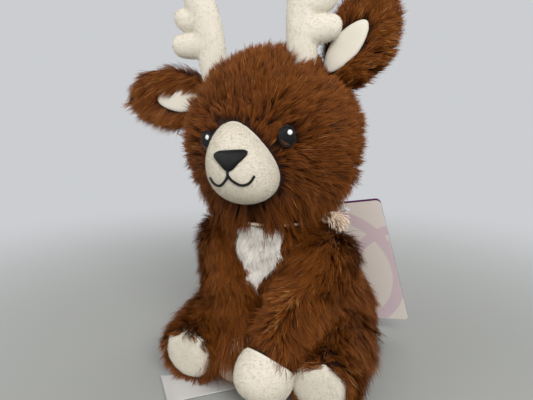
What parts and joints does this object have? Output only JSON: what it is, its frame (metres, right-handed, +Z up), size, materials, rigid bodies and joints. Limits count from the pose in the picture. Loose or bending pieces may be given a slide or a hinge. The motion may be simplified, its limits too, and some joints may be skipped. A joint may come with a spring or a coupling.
{
  "type": "plush deer",
  "caption": "Seated plush deer with long brown pile, velour muzzle, antlers, paws and soles, embroidered face, pale chest bib, neck cord and hang tag.",
  "frame": {"origin": "on the ground under the middle of the seat, a little ahead of the body's middle", "axes": "+Z up, -Y the way the deer faces, +X to its left"},
  "size_m": [0.2413, 0.2009, 0.3294],
  "materials": {
    "brown_pile": "long soft pile with lighter tips",
    "fibre_filling": "loose polyester fibre",
    "cream_velour": "short velour nap",
    "black_thread": "satin stitch",
    "white_thread": "stitched thread",
    "brown_thread": "sewing thread",
    "pellets": "small pellets in a cloth pouch",
    "white_pile": "long pale pile",
    "cotton_cord": "twisted cotton with frayed ends",
    "satin_ribbon": "woven satin",
    "printed_card": "printed with plain bands",
    "plum_card": "plain dark card"
  },
  "bodies": {
    "body": {"body_cover": "brown_pile", "body_filling": "fibre_filling", "pellet_pouch": "pellets", "chest_bib": "white_pile", "neck_cord": "cotton_cord", "tag_string": "white_thread", "care_label": "satin_ribbon"},
    "neck": {"neck_thread": "brown_thread"},
    "head": {"head_cover": "brown_pile", "head_filling": "fibre_filling", "muzzle": "cream_velour", "nose_embroidery": "black_thread", "mouth_embroidery": "black_thread", "eye_left": "black_thread", "eye_right": "black_thread", "eye_glint_left": "white_thread", "eye_glint_right": "white_thread"},
    "ear_left": {"ear_left": "brown_pile", "ear_lining_left": "cream_velour"},
    "ear_right": {"ear_right": "brown_pile", "ear_lining_right": "cream_velour"},
    "antler_left": {"antler_left": "cream_velour"},
    "antler_right": {"antler_right": "cream_velour"},
    "arm_left": {"arm_left": "brown_pile", "arm_filling_left": "fibre_filling", "paw_left": "cream_velour"},
    "arm_right": {"arm_right": "brown_pile", "arm_filling_right": "fibre_filling", "paw_right": "cream_velour"},
    "leg_left": {"leg_left": "brown_pile", "leg_filling_left": "fibre_filling", "sole_left": "cream_velour"},
    "leg_right": {"leg_right": "brown_pile", "leg_filling_right": "fibre_filling", "sole_right": "cream_velour"},
    "tail": {"tail": "brown_pile"},
    "tag": {"hang_tag_front": "printed_card", "hang_tag_back": "plum_card"},
    "tassel": {"cord_tassel": "cotton_cord"}
  },
  "joints": [
    {"name": "head_turn", "type": "hinge", "parent": "body", "child": "neck", "pos_m": [-0.007, -0.003, 0.189], "axis": [0, 0, 1], "range_deg": [-20, 20]},
    {"name": "head_nod", "type": "hinge", "parent": "neck", "child": "head", "pos_m": [-0.007, -0.003, 0.189], "axis": [-0.9945, -0.0783, -0.0698], "range_deg": [-12, 12], "stiffness_Nm_per_rad": 4},
    {"name": "ear_left_flap", "type": "hinge", "parent": "head", "child": "ear_left", "pos_m": [0.04319, 0.00095, 0.23433], "axis": [-0.0785, 0.9969, 0], "range_deg": [-20, 20], "stiffness_Nm_per_rad": 0.6},
    {"name": "ear_right_flap", "type": "hinge", "parent": "head", "child": "ear_right", "pos_m": [-0.06428, -0.00751, 0.2249], "axis": [-0.0785, 0.9969, 0], "range_deg": [-20, 20], "stiffness_Nm_per_rad": 0.6},
    {"name": "antler_left_flex", "type": "hinge", "parent": "head", "child": "antler_left", "pos_m": [0.02155, -0.0173, 0.24955], "axis": [-0.0785, 0.9969, 0], "range_deg": [-10, 10], "stiffness_Nm_per_rad": 0.6},
    {"name": "antler_right_flex", "type": "hinge", "parent": "head", "child": "antler_right", "pos_m": [-0.05242, -0.02062, 0.23987], "axis": [-0.0785, 0.9969, 0], "range_deg": [-10, 10], "stiffness_Nm_per_rad": 0.6},
    {"name": "arm_left_lift", "type": "hinge", "parent": "body", "child": "arm_left", "pos_m": [0.045, -0.026, 0.097], "axis": [-0.9445, 0, 0.3285], "range_deg": [0, 50]},
    {"name": "arm_right_lift", "type": "hinge", "parent": "body", "child": "arm_right", "pos_m": [-0.046, -0.014, 0.098], "axis": [-0.7894, 0.2842, -0.5442], "range_deg": [0, 20]},
    {"name": "leg_left_splay", "type": "hinge", "parent": "body", "child": "leg_left", "pos_m": [0.055, -0.024, 0.0315], "axis": [0, 0, 1], "range_deg": [0, 15]},
    {"name": "leg_right_splay", "type": "hinge", "parent": "body", "child": "leg_right", "pos_m": [-0.044, -0.025, 0.0315], "axis": [0, 0, -1], "range_deg": [0, 15]},
    {"name": "tail_wag", "type": "hinge", "parent": "body", "child": "tail", "pos_m": [0.001, 0.062, 0.038], "axis": [0, 0, 1], "range_deg": [-20, 20]},
    {"name": "tag_swing", "type": "hinge", "parent": "body", "child": "tag", "pos_m": [0.048, 0.038, 0.125], "axis": [0.9724, -0.1317, 0.1926], "range_deg": [0, 30]},
    {"name": "tassel_lift", "type": "hinge", "parent": "body", "child": "tassel", "pos_m": [0.04273, -0.00823, 0.1282], "axis": [-0.1045, -0.9945, 0], "range_deg": [0, 40]}
  ]
}
